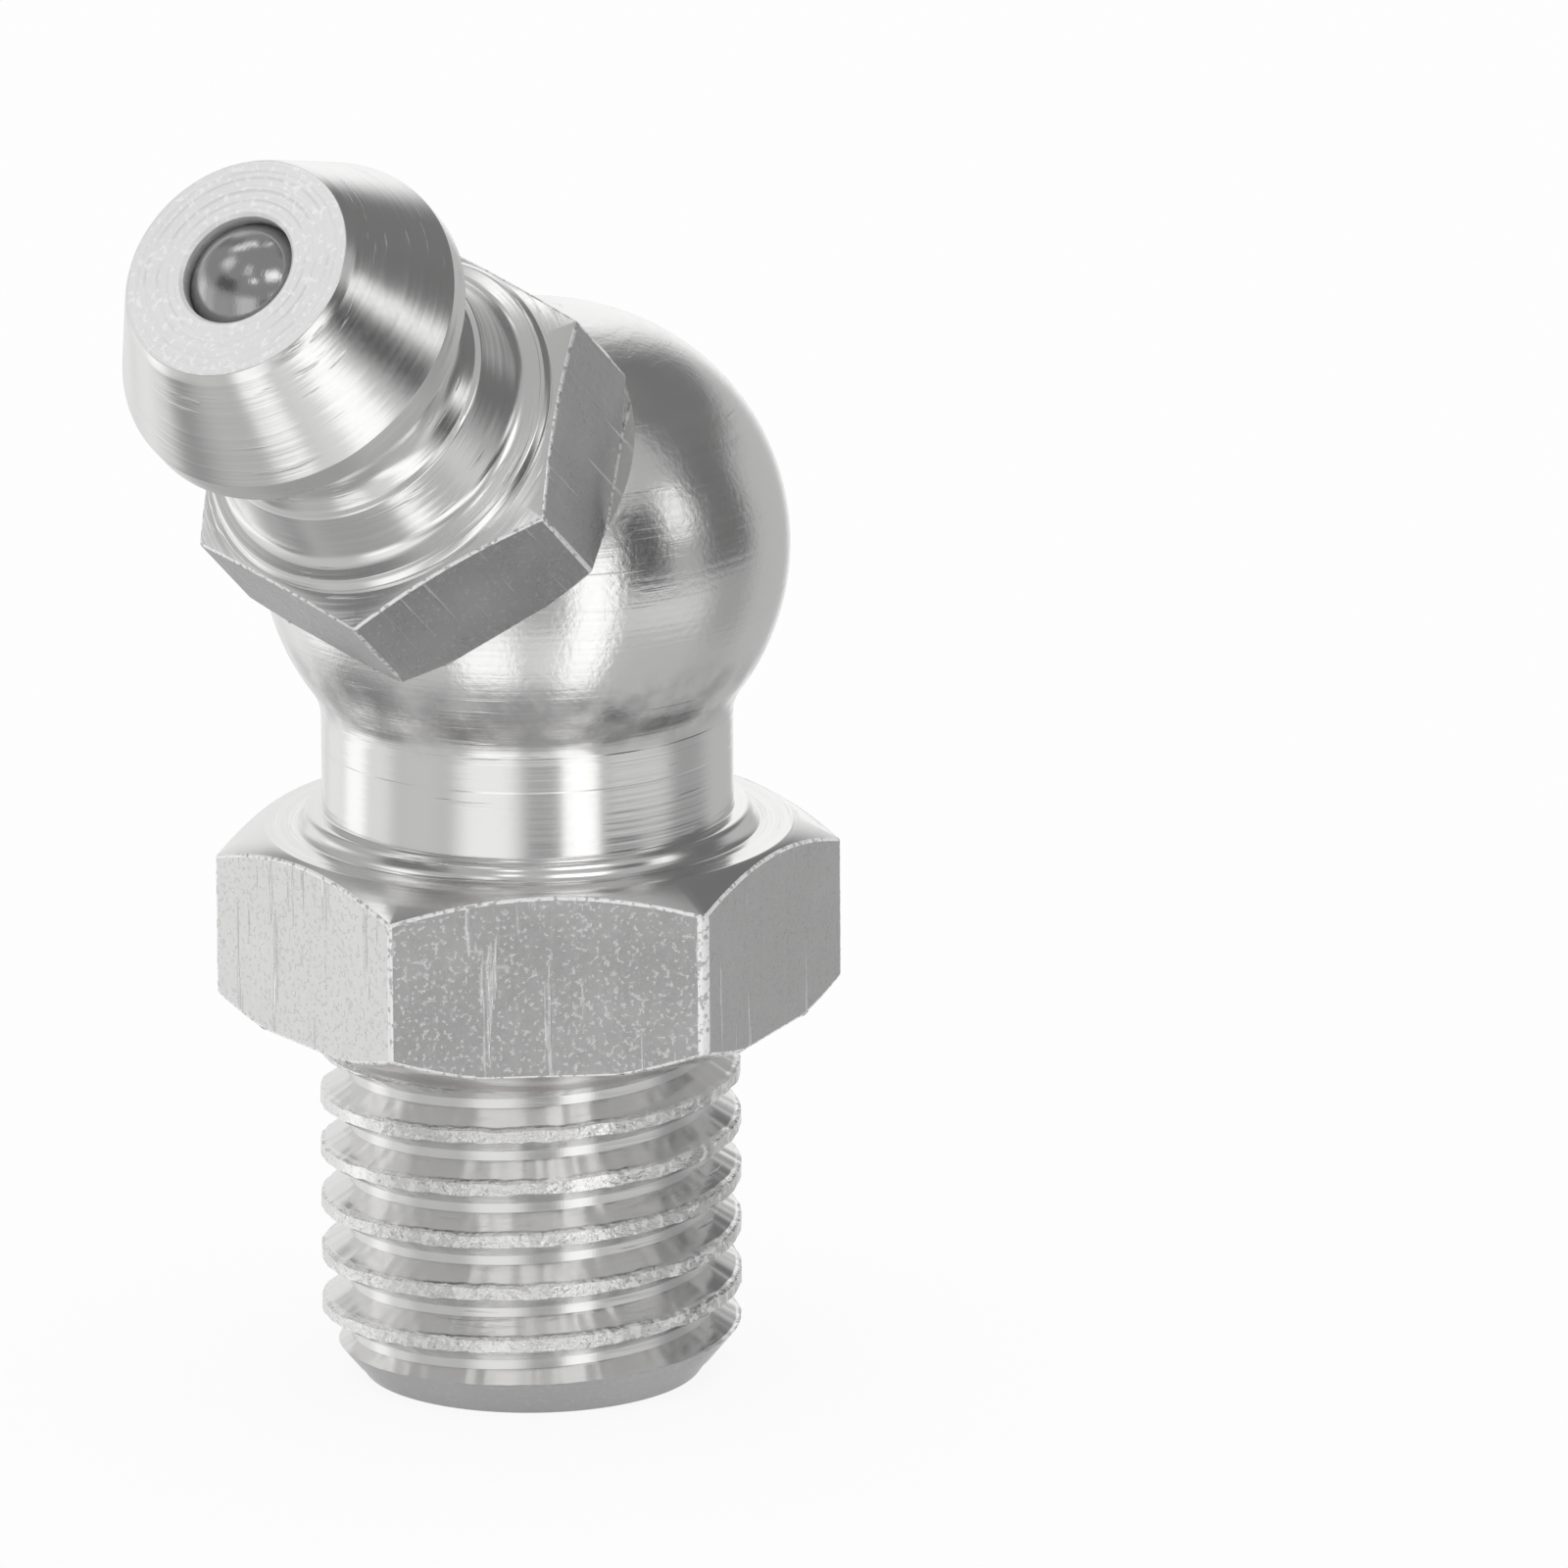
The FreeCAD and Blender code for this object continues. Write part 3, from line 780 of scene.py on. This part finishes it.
def sort_head(centre, normal):
    """The slot of a face of the head, looked at along its own axis."""
    centre, normal = upright @ centre, upright.to_3x3() @ normal
    found = hexagon_slot(centre, normal, SMALL_HEX_TURN, SMALL_HEX_WIDTH, SEAT, SMALL_HEX_FRONT)
    if found is not None:
        return found
    nose = normal.z > FACING_FRONT and centre.z > NOSE_END - SLACK
    mouth = centre.z > cone_foot - SLACK and centre.xy.length < CHAMBER_RADIUS + SLACK
    return FACED if nose or mouth else TURNED


def sort_faces(piece, sort):
    """Give each face the slot number that sort(centre, normal) returns."""
    counts = {}
    for face in piece.data.polygons:
        face.material_index = sort(face.center, face.normal)
        counts[face.material_index] = counts.get(face.material_index, 0) + 1
    print(piece.name, "faces per slot:", counts)


# %% [markdown]
# ## Shader arithmetic
#
# A finish is a sum of many small marks, and a sum is easier to read as one line of
# arithmetic than as a dozen nodes. So one small class wraps a socket, and adding or
# multiplying two of them adds the Math node. Everything else is asked for by name.

# %% Signals
class Signal:
    """A shader value that adds, multiplies and compares like a number."""

    def __init__(self, tree, socket):
        self.tree, self.socket = tree, socket

    def of(self, operation, *others):
        return maths(self.tree, operation, self, *others)

    def __add__(self, other): return self.of("ADD", other)
    def __radd__(self, other): return self.of("ADD", other)
    def __mul__(self, other): return self.of("MULTIPLY", other)
    def __rmul__(self, other): return self.of("MULTIPLY", other)
    def __sub__(self, other): return self.of("SUBTRACT", other)
    def __rsub__(self, other): return maths(self.tree, "SUBTRACT", other, self)
    def __truediv__(self, other): return self.of("DIVIDE", other)
    def __neg__(self): return self.of("MULTIPLY", -1.0)

    def between(self, low, high):
        """0 below low, 1 above high, and smooth in between."""
        made = add_node(self.tree, "ShaderNodeMapRange", {"interpolation_type": "SMOOTHSTEP"},
                        Value=self, From_Min=low, From_Max=high)
        return Signal(self.tree, made.outputs["Result"])

    def band(self, low, high, soft):
        """1 between low and high, falling to 0 over the soft width on both sides."""
        rise, fall = self.between(low - soft, low + soft), self.between(high - soft, high + soft)
        return rise * (1.0 - fall)


def maths(tree, operation, *values):
    """One Math node over signals and numbers."""
    made = add_node(tree, "ShaderNodeMath", {"operation": operation}, dict(enumerate(values)))
    return Signal(tree, made.outputs[0])


# %% Finish helper
AROUND_RADIUS = 4.0


class Finish:
    """A steel material with its node tree, and short ways to add nodes to it."""

    def __init__(self, name, colour, roughness, metallic=1.0):
        self.material = bpy.data.materials.new(name)
        self.material.use_nodes = True
        self.tree = self.material.node_tree
        self.shader = self.tree.nodes["Principled BSDF"]
        self.shader.inputs["Base Color"].default_value = (*colour, 1)
        self.shader.inputs["Metallic"].default_value = metallic
        self.shader.inputs["Roughness"].default_value = roughness
        self.place = self.node("ShaderNodeTexCoord").outputs["Object"]
        print("finish:", name)

    def node(self, kind, settings=(), places=(), **names):
        return add_node(self.tree, kind, settings, places, **names)

    def lathe(self, origin, axis, side):
        """Millimetres along an axis, away from it, and round it on a 4 mm circle."""
        offset = self.node("ShaderNodeVectorMath", {"operation": "SUBTRACT"},
                           {0: self.place, 1: origin})
        parts = []
        for direction in (axis, side, Vector(axis).cross(Vector(side))):
            dot = self.node("ShaderNodeVectorMath", {"operation": "DOT_PRODUCT"},
                            {0: offset.outputs[0], 1: direction})
            parts.append(Signal(self.tree, dot.outputs["Value"]) / MM)
        height, across, beside = parts
        away = (across * across + beside * beside).of("SQRT")
        return height, away, beside.of("ARCTAN2", across) * AROUND_RADIUS

    def lines(self, position, scale, detail=3.0):
        """Noise along one direction only, which makes lines across it."""
        made = self.node("ShaderNodeTexNoise", {"noise_dimensions": "1D"}, W=position,
                         Scale=scale, Detail=detail, Roughness=0.6)
        return Signal(self.tree, made.outputs["Fac"])

    def noise(self, scale, detail=2.0, stretch=(1, 1, 1)):
        """Noise in space, in features per millimetre, stretched by a mapping."""
        mapped = self.node("ShaderNodeMapping", Vector=self.place,
                           Scale=tuple(factor / MM for factor in stretch))
        made = self.node("ShaderNodeTexNoise", Vector=mapped.outputs["Vector"], Scale=scale,
                         Detail=detail)
        return Signal(self.tree, made.outputs["Fac"])

    def scratches(self, x, y, z, detail=2.0):
        """Noise over three signals, each already scaled: strokes along the smallest."""
        where = self.node("ShaderNodeCombineXYZ", X=x, Y=y, Z=z)
        made = self.node("ShaderNodeTexNoise", Vector=where.outputs["Vector"], Scale=1.0,
                         Detail=detail)
        return Signal(self.tree, made.outputs["Fac"])

    def vary(self, name, value):
        """Feed a signal or a socket into one input of the shader."""
        self.tree.links.new(getattr(value, "socket", value), self.shader.inputs[name])

    def bump(self, height, depth):
        """Raise the surface by height times depth, in millimetres."""
        made = self.node("ShaderNodeBump", Height=height, Distance=depth * MM, Strength=1.0)
        self.vary("Normal", made.outputs["Normal"])

    def tint(self, amount, dark, light):
        """Base colour between two colours by a signal."""
        mix = self.node("ShaderNodeMix", {"data_type": "RGBA", "clamp_factor": True},
                        {6: (*dark, 1), 7: (*light, 1)}, Factor=amount)
        self.vary("Base Color", mix.outputs[2])


# %% [markdown]
# ## Turned steel
#
# All of the nipple is plated steel, so the colour hardly changes. What tells the
# surfaces apart is how they were cut. A lathe leaves rings, so the marks depend on how
# far a point lies along the axis and away from it: coarse and fine lines, the even
# wave of the tool's feed and a few short strokes. The body adds to that: its crests
# are torn and speckled, and its ball is satin. Painted shade darkens the hollow fillet
# below the ball, and the thread's flanks and roots.

# %% Turned finish
STEEL = (0.88, 0.875, 0.87)
SHADE_AND_DOT_STEEL = (0.4, 0.4, 0.4)
FEED = 0.16
SATIN_START = (12.7, 13.1)
SHANK_END = (6.9, 7.0)
THREAD_END = (6.55, 6.65)
CREST_RADII = (3.76, 3.84)
STEP_LINE = (12.02, 12.66, 0.02)
SHADED_FILLET = (12.8, 14.1, 0.4)


def turned_finish(name, origin, axis, side, polish, dress=None):
    """Lathe rings round an axis, and what dress(...) adds to the relief and roughness."""
    steel = Finish(name, STEEL, 0.16)
    height, away, round_it = steel.lathe(origin, axis, side)
    position = height + away * 0.8 + steel.noise(0.35) * 0.05
    patch = steel.noise(0.45, 1.0).between(0.38, 0.62)
    feed = (position * (2 * math.pi / FEED) + steel.noise(0.8) * 5.0).of("SINE")
    rings = steel.lines(position, 3.2, 2.0)
    fine = steel.lines(position, 15.0)
    strokes = steel.scratches(round_it * 0.5, height * 8.0, away * 8.0)
    grain = steel.noise(9.0, 3.0)
    marks = strokes.between(0.62, 0.74) * patch
    relief = rings * 0.5 + fine * 0.24 * (0.4 + patch) + feed * 0.03 + marks * 0.5
    gloss = polish + fine * 0.08 + grain * 0.08 + marks * 0.1
    if dress:
        relief, gloss = dress(steel, height, away, patch, grain, relief, gloss)
    steel.bump(relief, 0.012)
    steel.vary("Roughness", gloss)
    return steel.material


def dress_body(steel, height, away, patch, grain, relief, gloss):
    """The body's own marks: torn crests, a step line on the neck, a satin ball, and painted shade
    in the hollow fillet and on the thread's flanks.
    """
    satin = height.between(*SATIN_START)
    shank = 1.0 - height.between(*SHANK_END)
    crest = away.between(*CREST_RADII) * (1.0 - height.between(*THREAD_END))
    dirt_and_shade_blotches = steel.noise(1.6, 4.0)
    pebbles = grain * 0.35 + steel.noise(3.0, 4.0) * 0.35
    torn = steel.noise(6.0, 5.0, (1, 1, 2.0)) * (1.5 + patch * 3.0)
    specks = steel.noise(6.0, 3.0).between(0.52, 0.58)
    dots = steel.noise(9.0, 3.0).between(0.62, 0.7)
    # Painted shade: the hollow fillet below the ball is darkened in blotches, and the thread's
    # flanks and roots are darkened a little; the crests keep their colour, apart from dark dots.
    dull = height.band(*SHADED_FILLET) * dirt_and_shade_blotches.between(0.34, 0.66) * 0.45
    steel.vary("Metallic", 1.0 - crest * specks * 0.45)
    steel.tint(dull + shank * (1.0 - crest) * 0.16 + crest * dots * 0.6, STEEL, SHADE_AND_DOT_STEEL)
    relief = relief * (1.0 - 0.35 * satin) + satin * pebbles
    relief = relief + crest * torn + height.band(*STEP_LINE) * 0.8
    return relief, gloss + satin * dirt_and_shade_blotches * 0.07 + shank * 0.03


# %% [markdown]
# ## Flats, edges with wear and a painted highlight, faced ends and the ball
#
# The hexagons are drawn bar or milled: straight lines along the axis, small pits and
# dull clouds. Handling broke their edges into a dotted line of chips, and the bright,
# less metallic colour between them is a painted highlight. A faced end has fine rings
# round the axis and looks dull beside turned steel. The ball was ground, so its
# scratches run every way. Pictures could show all this, but noise has no seams and
# no limit of sharpness, and each mark stays a number that can be changed.

# %% Drawn flats, and edges with wear and a painted highlight
PALE = (0.95, 0.95, 0.95)
CHIPPED = (0.55, 0.55, 0.55)
BURNISH_AND_HIGHLIGHT = (0.97, 0.97, 0.97)


def drawn_finish(name, origin, axis, side, colour, pitted):
    """Bright drawn bar: lines along it, small pits, pale specks and dull clouds."""
    steel = Finish(name, colour, 0.24)
    height, away, round_it = steel.lathe(origin, axis, side)
    grain = steel.noise(5.0, 5.0)
    pits = steel.noise(11.0, 4.0).between(0.57, 0.7) * pitted
    draw = steel.scratches(round_it * 7.0, height * 0.25, away * 0.3, 3.0)
    lines = draw.between(0.62, 0.68)
    clouds = steel.noise(0.7, 4.0)
    steel.bump(grain * 0.3 + pits * 0.25 + lines * 0.6 + draw * 0.3, 0.02)
    steel.vary("Roughness", 0.19 + grain * 0.08 + clouds * 0.1)
    steel.tint(pits * 0.4 + lines * 0.6 + (clouds - 0.45) * 0.6, colour, PALE)
    return steel.material


def worn_highlit_finish(name, metallic):
    """Softened edges: the tool and handling left a broken line of chips, and the bright, less
    metallic colour between them is a painted highlight.
    """
    steel = Finish(name, (0.9, 0.9, 0.9), 0.3, metallic)
    chips = steel.noise(9.0, 4.0)
    # Painted highlight: the pale, partly non-metallic colour makes the softened edges shine; the
    # darker chips are wear.
    steel.tint(chips.between(0.38, 0.5), CHIPPED, BURNISH_AND_HIGHLIGHT)
    steel.bump(chips * 1.2 + steel.noise(16.0, 3.0) * 0.5, 0.015)
    steel.vary("Roughness", 0.2 + chips * 0.25)
    return steel.material


# %% Faced ends and ground steel
def faced_finish(name, origin, axis, side, colour, metallic, speckled):
    """A faced end: fine rings round the axis, dull, with pale specks."""
    steel = Finish(name, colour, 0.4, metallic)
    away = steel.lathe(origin, axis, side)[1]
    rings = steel.lines(away + steel.noise(0.5) * 0.05, 9.0, 4.0)
    grain = steel.noise(8.0, 5.0)
    specks = grain.between(0.55, 0.66) * speckled
    marks = (0.44 - rings).between(0.0, 0.1) * steel.noise(0.9).between(0.4, 0.6) * speckled
    steel.bump(rings * 1.3 + grain * 0.8, 0.016)
    steel.tint(specks * 0.3 - marks * 0.25 + 0.8, tuple(part * 0.5 for part in colour),
               tuple(min(part * 1.12, 1.0) for part in colour))
    steel.vary("Roughness", 0.26 + rings * 0.16)
    return steel.material


def ground_finish(name, colour, roughness):
    """A ground ball or drawn wire: fine scratches every way."""
    steel = Finish(name, colour, roughness)
    scratches = steel.noise(6.0, 5.0, (1, 5, 1))
    steel.bump(scratches * 0.5 + steel.noise(20.0, 2.0) * 0.2, 0.006)
    steel.vary("Roughness", roughness - 0.05 + scratches * 0.12)
    return steel.material


# %% Finishes on their slots
BODY = ((0, 0, 0), (0, 0, 1), (-1, 0, 0))
HEAD = (HEAD_ORIGIN, head_axis, head_side)
FINISHES = {
    "elbow": (turned_finish("turned body", *BODY, 0.09, dress_body),
              drawn_finish("drawn hexagon", *BODY, (0.66, 0.66, 0.655), 1.0),
              faced_finish("faced shank end", *BODY, (0.69, 0.69, 0.69), 0.7, 0.4),
              worn_highlit_finish("highlit worn edges", 0.4)),
    "head": (turned_finish("turned head", *HEAD, 0.13),
             drawn_finish("milled head flats", *HEAD, (0.52, 0.52, 0.52), 0.5),
             faced_finish("faced nose", *HEAD, (0.93, 0.93, 0.92), 0.3, 1.0),
             worn_highlit_finish("highlit worn head edges", 0.8)),
    "ball": (ground_finish("ground ball", (0.46, 0.46, 0.46), 0.09),),
    "spring": (ground_finish("spring wire", (0.6, 0.6, 0.6), 0.25),),
}
for piece in (elbow, head, ball, spring):
    piece.data.materials.clear()
    for material in FINISHES[piece.name]:
        piece.data.materials.append(material)
sort_faces(elbow, sort_elbow)
sort_faces(head, sort_head)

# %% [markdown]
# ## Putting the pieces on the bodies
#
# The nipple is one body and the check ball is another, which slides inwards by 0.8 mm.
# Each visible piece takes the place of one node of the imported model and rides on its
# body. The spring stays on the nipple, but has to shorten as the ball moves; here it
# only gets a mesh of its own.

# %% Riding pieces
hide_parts("elbow_body")
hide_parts("nipple_head")
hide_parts("check_ball")
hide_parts("ball_spring")
for piece, body, name in ((elbow, "nipple", "body_steel"), (head, "nipple", "head_steel"),
                          (ball, "valve_ball", "ball_steel"), (spring, "nipple", "spring_wire")):
    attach(piece, body)
    print(piece.name, "rides on", body)
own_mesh(spring)

# %% [markdown]
# ## The studio
#
# Bright metal shows its surroundings more than itself, so the studio matters as much
# as the steel. Lamps with soft boxes could light it, but each would show in every
# turned surface at once. Instead the world itself is painted: a grey room with white
# panels and dark flags, each a patch of directions with soft borders. Only reflections
# see them. The camera sees plain white, and dull surfaces get an even light. All of
# them are fixed directions in the world, so they stay in place in every view.
#
# Each row is a brightness, then the patch from left to right and from bottom to top,
# in degrees, each with the softness of its border. 0 is where the photograph's camera
# stands, and plus is to its right. A later row covers the earlier ones.

# %% Panels and flags
ROOM_LIGHT = 0.92
ROOM_GLOW = 0.44
PANELS = [
    # the ground, straight below
    (0.36, (-210, 210, 5), (-100, -66, 6)),
    # the left side, from behind to the front
    (0.85, (-200, -152, 10), (-30, 42, 10)),
    (0.85, (-152, -124, 8), (-34, 12, 8)),
    (1.12, (-124, -101, 6), (-34, 10, 8)),
    (0.78, (-101, -80, 7), (-34, 10, 8)),
    (0.3, (-125, -96, 6), (-58, -38, 4)),
    (0.58, (-80, -46, 12), (-52, 6, 8)),
    # the front, on both sides of the camera
    (1.15, (-37, -5, 6), (-54, -26, 8)),
    (0.93, (-40, -5, 9), (-26, 8, 6)),
    (0.3, (0, 16, 4), (-12, 4, 4)),
    (0.42, (-1, 17, 4), (-26, -9, 4)),
    (0.72, (0, 26, 6), (-52, -26, 6)),
    (1.2, (19, 40, 2), (-58, 13, 3)),
    (0.07, (43, 64, 4), (-7, 25, 5)),
    # the right side, from the front to behind
    (0.5, (46, 92, 8), (-60, -28, 4)),
    (0.66, (46, 92, 8), (-28, -12, 3)),
    (0.17, (88, 156, 8), (16, 62, 8)),
    (0.15, (84, 116, 8), (-10, 30, 5)),
    (0.36, (88, 114, 8), (-30, -12, 5)),
    (1.05, (67, 81, 3), (9, 27, 3)),
    (0.5, (120, 160, 8), (-36, 14, 8)),
    (1.0, (163, 200, 8), (-28, 36, 8)),
    # above the camera, most of it to the left
    (0.45, (-140, 10, 12), (22, 74, 8)),
    (0.18, (-82, -42, 6), (13, 31, 4)),
    (1.0, (-35, -20, 4), (44, 60, 4)),
    (1.1, (-100, -72, 8), (38, 56, 6)),
    (1.5, (-150, -112, 10), (54, 72, 8)),
    (1.8, (-16, -5, 3), (31, 39, 3)),
    (1.8, (14, 46, 6), (34, 50, 6)),
    # above and behind the nipple
    (1.4, (-172, -144, 7), (66, 80, 5)),
    (0.22, (-154, -132, 10), (46, 62, 8)),
    (0.3, (-156, -140, 5), (26, 40, 6)),
    (0.4, (158, 190, 6), (68, 84, 6)),
    (1.4, (141, 155, 4), (64, 78, 4)),
    (0.16, (132, 152, 8), (38, 58, 8)),
]
print("%d panels, %d of them white" % (len(PANELS), sum(row[0] > 0.9 for row in PANELS)))


# %% Studio world
WHITE = (1, 1, 1, 1)
DEGREES = 180 / math.pi


def mix_shaders(tree, factor, first, second):
    """The first shader where the factor is 0, the second where it is 1."""
    mixed = add_node(tree, "ShaderNodeMixShader", (), {0: factor, 1: first, 2: second})
    return mixed.outputs[0]


def world_studio():
    """White for the camera, panels and flags for reflections, even light for the rest."""
    world = bpy.data.worlds.new("studio")
    bpy.context.scene.world = world
    world.use_nodes = True
    tree = world.node_tree
    tree.nodes.clear()
    direction = add_node(tree, "ShaderNodeTexCoord").outputs["Generated"]
    turn = add_node(tree, "ShaderNodeVectorRotate", {"rotation_type": "Z_AXIS"},
                    Vector=direction, Angle=-CAMERA_AZIMUTH)
    parts = add_node(tree, "ShaderNodeSeparateXYZ", Vector=turn.outputs["Vector"])
    right, away, up = (Signal(tree, parts.outputs[name]) for name in "XYZ")
    around = right.of("ARCTAN2", -away) * DEGREES
    lift = up.of("ARCSINE") * DEGREES
    glow = ROOM_GLOW
    for strength, sideways, upwards in PANELS:
        glow = glow + (strength - glow) * around.band(*sideways) * lift.band(*upwards)
    even, reflected, plain = (
        add_node(tree, "ShaderNodeBackground", Color=WHITE, Strength=strength).outputs[0]
        for strength in (ROOM_LIGHT, glow, 1.0))
    sight = add_node(tree, "ShaderNodeLightPath").outputs
    room = mix_shaders(tree, sight["Is Glossy Ray"], even, reflected)
    seen = mix_shaders(tree, sight["Is Camera Ray"], room, plain)
    add_node(tree, "ShaderNodeOutputWorld", Surface=seen)
    print("studio world: %d nodes" % len(tree.nodes))


world_studio()

# %% [markdown]
# ## The floor
#
# The nipple stands on a pale floor that melts into the white room, with only a faint
# shadow. A plain white floor would come out grey, so most of what the camera sees of
# it is a steady white, and the rest is matt paint that takes the shadow. Reflections
# look through it to the panels below, as they would in a glass table with lights
# under it, and so does anyone who looks from underneath.

# %% Floor
FLOOR_REACH = 3
FLOOR_COLOUR = (0.97, 0.97, 0.97, 1)
FLOOR_WHITE = 0.88


def floor_paint():
    """Pale paint that looks white, and keeps part of the shadow on it."""
    paint = bpy.data.materials.new("pale floor")
    paint.use_nodes = True
    tree = paint.node_tree
    matt = tree.nodes["Principled BSDF"]
    matt.inputs["Base Color"].default_value = FLOOR_COLOUR
    matt.inputs["Roughness"].default_value = 1
    sight = add_node(tree, "ShaderNodeLightPath").outputs
    steady = Signal(tree, sight["Is Camera Ray"]) * FLOOR_WHITE
    glow = add_node(tree, "ShaderNodeEmission").outputs[0]
    clear = add_node(tree, "ShaderNodeBsdfTransparent").outputs[0]
    below = add_node(tree, "ShaderNodeNewGeometry").outputs["Backfacing"]
    open_side = maths(tree, "MAXIMUM", Signal(tree, sight["Is Glossy Ray"]), Signal(tree, below))
    painted = mix_shaders(tree, steady, matt.outputs[0], glow)
    surface = mix_shaders(tree, open_side, painted, clear)
    tree.links.new(surface, tree.nodes["Material Output"].inputs["Surface"])
    return paint


floor_form = bmesh.new()
bmesh.ops.create_grid(floor_form, x_segments=1, y_segments=1, size=FLOOR_REACH)
floor = add_mesh("floor", floor_form)
floor.data.materials.append(floor_paint())
bpy.context.scene.view_settings.view_transform = "Standard"
print("floor: %.0f m wide" % (2 * FLOOR_REACH))
